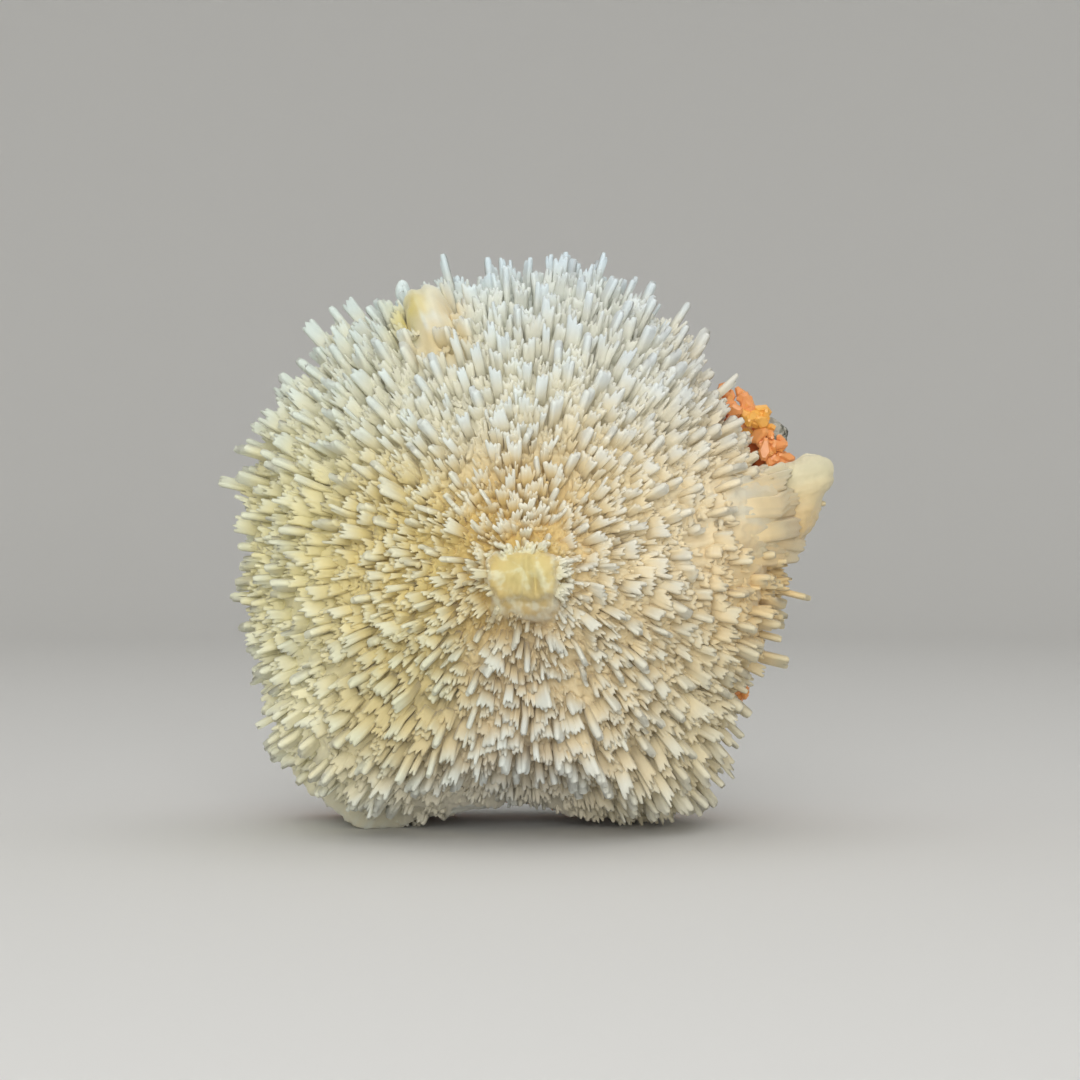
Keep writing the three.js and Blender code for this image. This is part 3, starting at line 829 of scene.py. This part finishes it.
def make_lobe(dome_tree, material):
    """The smooth lobe at the right: it follows the solid's lobe, rounded and with soft lumps."""
    directions, faces = ball(6)
    middle = Vector(CENTRE + LOBE_MIDDLE)
    reach = []
    for direction in directions.tolist():
        distance = dome_tree.ray_cast(middle, Vector(direction))[3]
        reach.append(min(distance, LOBE_REACH))
    reach = np.array(reach)
    neighbours = np.concatenate([faces[:, [0, 1]], faces[:, [1, 2]], faces[:, [2, 0]]])
    for _ in range(LOBE_ROUNDS):
        total = np.zeros(len(reach))
        np.add.at(total, neighbours[:, 0], reach[neighbours[:, 1]])
        np.add.at(total, neighbours[:, 1], reach[neighbours[:, 0]])
        count = np.bincount(neighbours.ravel(), minlength=len(reach))
        reach = (1 - LOBE_SMOOTHING) * reach + LOBE_SMOOTHING * total / count
    places = directions * reach[:, None] + LOBE_MIDDLE
    flutes = noise_at(unit(places) * TIP_REACH, 1.8)
    lumps = noise_at(places, 4.0) * LOBE_LUMPS + flutes * LOBE_FLUTES
    places = directions * (reach - 0.2 + lumps)[:, None]
    side = np.linalg.norm(places[:, [0, 2]], axis=1)
    turn = np.arctan2(places[:, 2], places[:, 0]) / math.pi + 1
    sector = (turn * LOBE_SECTORS / 2).astype(int) % LOBE_SECTORS
    widest = np.zeros(LOBE_SECTORS)
    np.maximum.at(widest, sector, side)
    widest = (np.roll(widest, 1) + widest + np.roll(widest, -1)) / 3
    out = np.clip(side / widest[sector], 0, 1)
    places[:, 1] *= np.sqrt(1 - (1 - LOBE_RIM_SHARE ** 2) * out ** 4)
    places += LOBE_MIDDLE
    piece = new_piece("mordenite_lobe", places + CENTRE, faces, material, "mordenite")
    dress(piece, places, np.linalg.norm(places, axis=1) + 0.4, np.zeros(len(places)))


def make_grain(material):
    """The rounded white grain at the rim."""
    directions, faces = ball(4)
    lumps = 1 + 0.08 * noise_at(directions, 0.9)
    places = directions * lumps[:, None] * GRAIN_SIZE + GRAIN_PLACE
    piece = new_piece("mordenite_grain", places + CENTRE, faces, material, "mordenite")
    dress(piece, places, np.linalg.norm(places, axis=1), np.full(len(places), 1.0))


def remeshed(corners, triangles, grain, rounds):
    """The solid's surface as an even net of small triangles, smoothed that many times."""
    mesh = bpy.data.meshes.new("solid")
    mesh.from_pydata((corners * MM).tolist(), [], triangles.tolist())
    solid = add_object("solid", mesh)
    remesh = solid.modifiers.new("even", "REMESH")
    remesh.mode = "VOXEL"
    remesh.voxel_size = grain * MM
    soften = solid.modifiers.new("soften", "SMOOTH")
    soften.iterations = rounds
    shape = bmesh.new()
    shape.from_object(solid, bpy.context.evaluated_depsgraph_get())
    bmesh.ops.triangulate(shape, faces=shape.faces[:])
    shape.normal_update()
    places = np.array([corner.co for corner in shape.verts]) / MM
    normals = np.array([corner.normal for corner in shape.verts])
    faces = np.array([[corner.index for corner in face.verts] for face in shape.faces])
    shape.free()
    bpy.data.objects.remove(solid)
    bpy.data.meshes.remove(mesh)
    return places, normals, faces


def bare(places, least, *trees):
    """True for the places that are at least so far from each of the solids."""
    found = []
    for place in places.tolist():
        found.append(all(tree.find_nearest(Vector(place), least)[0] is None for tree in trees))
    return np.array(found)


def tablet():
    """A coffin-shaped tablet of length 1 along X and thin along Z, with bevelled edges."""
    outline = np.array([(-0.5, 0.12), (-0.5, -0.12), (-0.12, -0.32), (0.5, -0.1), (0.5, 0.1), (-0.12, 0.32)])
    rings = []
    for height, width in ((-0.19, 0.72), (-0.1, 1.0), (0.1, 1.0), (0.19, 0.72)):
        rings.append(np.column_stack([outline * width, np.full(len(outline), height)]))
    sides = len(outline)
    step = np.arange(1, sides - 1)
    cap = np.stack([0 * step, step, step + 1], axis=1)
    faces = np.concatenate([bands(sides, len(rings)), cap[:, ::-1], cap + (len(rings) - 1) * sides])
    return np.concatenate(rings), faces


def at_notch(places, reach_by_angle):
    """The places near the notch of the rim, with what lies past the stated reach there drawn in."""
    from_middle = (places - CENTRE)[:, [0, 2]]
    side = np.linalg.norm(from_middle, axis=1)
    across = np.degrees(np.arctan2(from_middle[:, 1], from_middle[:, 0]))
    inside = smooth(across, *NOTCH_START) * (1 - smooth(across, *NOTCH_END))
    past = np.maximum(side - np.interp(across, *zip(*reach_by_angle)), 0)
    factor = 1 - (1 - NOTCH_SHARE) * past / side * inside
    moved = places.copy()
    moved[:, [0, 2]] = from_middle * factor[:, None] + CENTRE[[0, 2]]
    return moved


def notch_crystals(random):
    """The crystals at the notch: middle, long way, facing, length and tone."""
    across = np.concatenate([
        random.uniform(NOTCH_CRYSTALS[0], NOTCH_GAP[0], NOTCH_CRYSTAL_COUNT // 2),
        random.uniform(NOTCH_GAP[1], NOTCH_CRYSTALS[1], NOTCH_CRYSTAL_COUNT // 2),
    ])
    outwards = towards(across, 90)
    inwards = random.uniform(0.3, 3.8, NOTCH_CRYSTAL_COUNT)
    side = np.interp(across, *zip(*NOTCH_DRUSE)) - inwards
    y = 3.4 - 0.5 * inwards + random.uniform(-0.6, 0.6, NOTCH_CRYSTAL_COUNT)
    middle = CENTRE + outwards * side[:, None] + y[:, None] * np.array([0, 1, 0])
    long_way = np.cross(outwards, np.array([0, 1, 0])) + random.normal(0, 0.7, outwards.shape)
    facing = np.array([0, -1, 0]) + random.normal(0, 0.5, outwards.shape)
    amber = (across > NOTCH_AMBER[0]) & (across < NOTCH_AMBER[1])
    tone = np.where(amber, 1.0, random.uniform(0, 0.3, NOTCH_CRYSTAL_COUNT))
    return middle, unit(long_way), facing, random.uniform(1.5, 3.4, NOTCH_CRYSTAL_COUNT), tone


def spot_crystals(random):
    """The crystals of the spot at the right below, in the same form."""
    across, side, y, spread = SPOT
    size = (SPOT_CRYSTAL_COUNT, 3)
    place = CENTRE + towards(across, 90) * side + np.array([0, y, 0])
    middle = place + random.uniform(-spread, spread, size) * np.array([1, 1.5, 1])
    long_way = unit(random.normal(0, 1, size))
    length = random.uniform(1.4, 2.6, SPOT_CRYSTAL_COUNT)
    facing = random.normal(0, 1, size)
    return middle, long_way, facing, length, random.uniform(0, 0.3, SPOT_CRYSTAL_COUNT)


def make_druse(druse, dome_tree, slab_tree, material):
    """The heulandite: a rough crust, and tabular crystals wherever it is bare."""
    random = np.random.default_rng(31)
    places, normals, faces = remeshed(*druse, CRUST_GRAIN, 3)
    places = at_notch(places, NOTCH_DRUSE)
    rough = 0.35 * noise_at(places, 2.6) + 0.2 * noise_at(places, 0.9) - 0.35
    rough = np.where(bare(places, SEAM_GAP, slab_tree), rough, SEAM_FILL)
    crust = new_piece("heulandite_crust", places + rough[:, None] * normals, faces, material, "heulandite")
    # A tone of -1 gives the crust the gap colours, with their painted shade.
    add_value(crust.data, "tone", np.full(len(places), -1.0))
    seats = random.permutation(len(places))[:CRYSTAL_TRIES]
    high = places[seats, 2] > CRYSTAL_HEIGHT
    seats = seats[high & bare(places[seats], CRYSTAL_REACH, dome_tree, slab_tree)]
    seats = seats[:CRYSTAL_COUNT]
    count = len(seats)
    out = normals[seats]
    long_way = unit(out + random.normal(0, 0.4, out.shape))
    facing = random.normal(0, 1, out.shape)
    size = random.uniform(*CRYSTAL_LENGTH, count)
    middle = places[seats] - CRYSTAL_SUNK * size[:, None] * out
    tone = random.random(count)
    kinds = [(middle, long_way, facing, size, tone), notch_crystals(random), spot_crystals(random)]
    middle, long_way, facing, size, tone = (np.concatenate(values) for values in zip(*kinds))
    size = size[:, None, None]
    count = len(middle)
    wide_way = unit(np.cross(long_way, facing))
    thin_way = np.cross(long_way, wide_way)
    one, one_faces = tablet()
    shape = one[None] * random.uniform(0.8, 1.25, (count, 1, 3))
    corners = middle[:, None] + size * (
        shape[..., :1] * long_way[:, None] + shape[..., 1:2] * wide_way[:, None]
        + shape[..., 2:] * thin_way[:, None]
    )
    joined = (one_faces[None] + len(one) * np.arange(count)[:, None, None]).reshape(-1, 3)
    piece = new_piece("heulandite_crystals", corners.reshape(-1, 3), joined, material, "heulandite")
    piece.data.attributes.new("sharp_face", "BOOLEAN", "FACE").data.foreach_set(
        "value", np.ones(len(joined), bool),
    )
    add_value(piece.data, "tone", np.repeat(tone, len(one)))


def make_slab(slab, druse_tree, material):
    """The basalt: a broken rough face with round pits, some of them filled with pale grains."""
    random = np.random.default_rng(41)
    places, normals, faces = remeshed(*slab, SLAB_GRAIN, 2)
    places = at_notch(places, NOTCH_SLAB)
    rough = 0.5 * noise_at(places, 6.0) + 0.3 * noise_at(places, 1.6) - 0.5
    filled = np.zeros(len(places))
    for seat in random.permutation(len(places))[:PIT_COUNT]:
        radius = random.uniform(*PIT_RADIUS) * random.uniform(0.6, 1)
        away = np.linalg.norm(places - places[seat], axis=1) / radius
        near = away < 1
        dent = radius * np.sqrt(1 - away[near] ** 2)
        if random.random() < PIT_SHARE_FILLED:
            filled[near] = 1
            dent *= -0.15
        rough[near] -= 0.7 * dent
    rough *= smooth(places[:, 2], 0.2, 1.5) * bare(places, SEAM_GAP, druse_tree)
    piece = new_piece("basalt_slab", places + rough[:, None] * normals, faces, material, "basalt")
    add_value(piece.data, "filled", filled)


def add_node(tree, kind, inputs=None, **settings):
    """A shader node with its settings, and its inputs given as values or as sockets to link."""
    node = tree.nodes.new(kind)
    for name, value in settings.items():
        setattr(node, name, value)
    for name, value in (inputs or {}).items():
        if isinstance(value, bpy.types.NodeSocket):
            tree.links.new(value, node.inputs[name])
        else:
            node.inputs[name].default_value = value
    return node


def new_material(name, inputs):
    """A material, its tree and its Principled shader, which has those inputs and is wired to the output."""
    material = bpy.data.materials.new(name)
    material.use_nodes = True
    tree = material.node_tree
    tree.nodes.clear()
    shader = add_node(tree, "ShaderNodeBsdfPrincipled", inputs)
    add_node(tree, "ShaderNodeOutputMaterial", {"Surface": shader.outputs["BSDF"]})
    return material, tree, shader


def maths(tree, operation, *inputs, kind="ShaderNodeMath"):
    return add_node(tree, kind, dict(enumerate(inputs)), operation=operation).outputs[0]


def position(tree):
    return add_node(tree, "ShaderNodeNewGeometry").outputs["Position"]


def attribute(tree, name, output="Fac"):
    return add_node(tree, "ShaderNodeAttribute", attribute_name=name).outputs[output]


def noise_texture(tree, place, scale, detail, roughness=0.5):
    """Noise from 0 to 1 whose lumps are about 1 / scale across."""
    inputs = {"Vector": place, "Scale": scale, "Detail": detail, "Roughness": roughness}
    return add_node(tree, "ShaderNodeTexNoise", inputs).outputs[0]


def mix_colours(tree, share, first, second):
    """A mix of two colours, each given as a colour or as a socket."""
    mix = add_node(tree, "ShaderNodeMix", data_type="RGBA")
    for socket, value in zip([mix.inputs[0], mix.inputs[6], mix.inputs[7]], [share, first, second]):
        if isinstance(value, bpy.types.NodeSocket):
            tree.links.new(value, socket)
        else:
            socket.default_value = (*value, 1)
    return mix.outputs[2]


def span(tree, value, low, high):
    """A value's place between low and high, from 0 to 1, with a smooth rise."""
    return add_node(
        tree, "ShaderNodeMapRange", {"Value": value, "From Min": low, "From Max": high},
        interpolation_type="SMOOTHSTEP",
    ).outputs[0]


def finish_shader(tree, shader, colour, height, strength, distance):
    """Gives the shader its colour and its bump."""
    bump = add_node(tree, "ShaderNodeBump", {"Height": height, "Strength": strength, "Distance": distance})
    tree.links.new(colour, shader.inputs["Base Color"])
    tree.links.new(bump.outputs["Normal"], shader.inputs["Normal"])


def mordenite_material():
    """Tips and hollows in their own tints, the hollows' tint with painted crevice shade, in soft patches,
    with fine fibres along the needles.
    """
    material, tree, shader = new_material("mordenite", {
        "Roughness": 0.5, "Specular IOR Level": 0.35,
        "Sheen Weight": 0.4, "Sheen Roughness": 0.5, "Sheen Tint": (1.0, 0.95, 0.86, 1),
    })
    place = position(tree)
    vectors = "ShaderNodeVectorMath"
    from_centre = maths(tree, "SUBTRACT", place, (CENTRE * MM).tolist(), kind=vectors)
    way = maths(tree, "NORMALIZE", from_centre, kind=vectors)
    fibre_place = maths(tree, "MULTIPLY_ADD", from_centre, (120, 120, 120), way, kind=vectors)
    # Mixes from the tip tint to the hollow tint with depth below the tips: painted shade in the crevices.
    deep = span(tree, attribute(tree, "depth"), 0.12, 0.85)
    tip_tint = attribute(tree, "tip_tint", "Color")
    tint = mix_colours(tree, deep, tip_tint, attribute(tree, "hollow_shade_tint", "Color"))
    patches = noise_texture(tree, place, 260.0, 3.0)
    patch_value = add_node(
        tree, "ShaderNodeMapRange",
        {"Value": patches, "From Min": 0.3, "From Max": 0.7, "To Min": 0.93, "To Max": 1.04},
    ).outputs[0]
    value = maths(tree, "MULTIPLY_ADD", attribute(tree, "tone"), 0.02, patch_value)
    shade = add_node(tree, "ShaderNodeHueSaturation", {"Color": tint, "Value": value}).outputs[0]
    fibres = noise_texture(tree, fibre_place, 55.0, 3.0, 0.6)
    finish_shader(tree, shader, shade, fibres, 0.35, 0.0002)
    return material


def heulandite_material():
    """Salmon to amber crystals by their tone, and a salmon crust with dark red-brown patches, painted shade
    in the gaps between the crystals.
    """
    material, tree, shader = new_material(
        "heulandite", {"Roughness": 0.3, "IOR": 1.5, "Transmission Weight": 0.1},
    )
    place = position(tree)
    tone = attribute(tree, "tone")
    patches = noise_texture(tree, place, 240.0, 3.0)
    grain = noise_texture(tree, place, 1500.0, 4.0)
    mixed = maths(tree, "ADD", tone, patches)
    crystal = mix_colours(tree, span(tree, mixed, 0.6, 1.4), linear(244, 166, 106), linear(246, 184, 92))
    # The crust's colour: salmon, with dark red-brown patches as painted shade between the crystals.
    crust_and_gap_shade = mix_colours(tree, span(tree, patches, 0.38, 0.5), linear(124, 44, 16), linear(226, 122, 70))
    colour = mix_colours(tree, span(tree, tone, -0.5, 0.0), crust_and_gap_shade, crystal)
    finish_shader(tree, shader, colour, grain, 0.25, 0.0002)
    return material


def basalt_material():
    """Dark grey-green stone with pale specks and pale grains in its filled pits."""
    material, tree, shader = new_material("basalt", {"Roughness": 0.75})
    place = position(tree)
    patches = noise_texture(tree, place, 160.0, 4.0)
    specks = noise_texture(tree, place, 900.0, 3.0)
    crystals = add_node(tree, "ShaderNodeTexVoronoi", {"Vector": place, "Scale": 1400.0}).outputs["Color"]
    ground = mix_colours(tree, span(tree, patches, 0.35, 0.65), linear(74, 78, 70), linear(128, 130, 118))
    pale = mix_colours(tree, crystals, linear(150, 152, 142), linear(196, 194, 182))
    speckled = mix_colours(tree, span(tree, specks, 0.52, 0.62), ground, pale)
    colour = mix_colours(tree, attribute(tree, "filled"), speckled, pale)
    finish_shader(tree, shader, colour, specks, 0.6, 0.0004)
    return material


def make_stage():
    """A round pale floor whose rim curves up into a wall all the way round."""
    bend = np.linspace(0, math.pi / 2, FLOOR_STEPS + 1)
    radius = FLOOR_RADIUS + FLOOR_CURVE * np.append(np.sin(bend), 1)
    height = np.append(FLOOR_CURVE * (1 - np.cos(bend)), FLOOR_WALL)
    side = np.arange(FLOOR_SIDES)
    turn = 2 * math.pi * side / FLOOR_SIDES
    rings = radius[:, None, None] * np.stack([np.cos(turn), np.sin(turn), 0 * turn], axis=1)
    rings[..., 2] = height[:, None]
    corners = [*rings.reshape(-1, 3).tolist(), (0, 0, 0)]
    faces = np.concatenate([bands(FLOOR_SIDES, len(rings))[:, ::-1], fan(len(corners) - 1, side)])
    mesh = bpy.data.meshes.new("floor")
    mesh.from_pydata(corners, [], faces.tolist(), shade_flat=False)
    mesh.materials.append(new_material("floor", {"Base Color": (0.7, 0.7, 0.69, 1), "Roughness": 0.9})[0])
    add_object("floor", mesh)


def add_light(name, place, size, power, colour):
    """A square soft light that faces the specimen."""
    light = bpy.data.lights.new(name, "AREA")
    light.size = size
    light.energy = power
    light.color = colour
    lamp = add_object(name, light)
    lamp.location = place
    lamp.rotation_euler = (Vector((0, 0, 0.045)) - Vector(place)).to_track_quat("-Z", "Y").to_euler()


def light_scene():
    add_light("key", (-0.04, -0.60, 0.42), 0.45, 1.3, (1.0, 1.0, 1.0))
    add_light("front", (0.0, -0.75, 0.12), 0.35, 2.7, (1.0, 0.99, 0.98))
    add_light("top", (0.05, 0.05, 0.70), 0.60, 0.7, (0.96, 0.98, 1.0))
    world = bpy.data.worlds.new("world")
    world.use_nodes = True
    world.node_tree.nodes["Background"].inputs["Color"].default_value = (1.0, 0.98, 0.94, 1)
    world.node_tree.nodes["Background"].inputs["Strength"].default_value = 0.70
    bpy.context.scene.world = world
    bpy.context.scene.view_settings.view_transform = "Standard"


def add_camera():
    """The camera looks along +Y, level, from in front of the dome."""
    camera = bpy.data.cameras.new("camera")
    camera.sensor_width = 36
    camera.lens = 84.8
    camera.clip_start = 0.01
    viewer = add_object("camera", camera)
    viewer.location = (0.0022, -0.4, 0.0455)
    viewer.rotation_euler = (math.pi / 2, 0, 0)
    bpy.context.scene.camera = viewer


def main():
    dome = node_solid("mordenite")
    druse = node_solid("heulandite")
    slab = node_solid("basalt")
    tips = Tips(*dome)
    broken_faces = Break(dome, druse)
    stone = mordenite_material()
    add_camera()
    make_body(tips, broken_faces, stone)
    make_blades(tips, broken_faces, stone)
    make_lobe(broken_faces.dome, stone)
    make_grain(stone)
    make_druse(druse, broken_faces.dome, tree_of(*slab), heulandite_material())
    make_slab(slab, tree_of(*druse), basalt_material())
    make_stage()
    light_scene()


main()
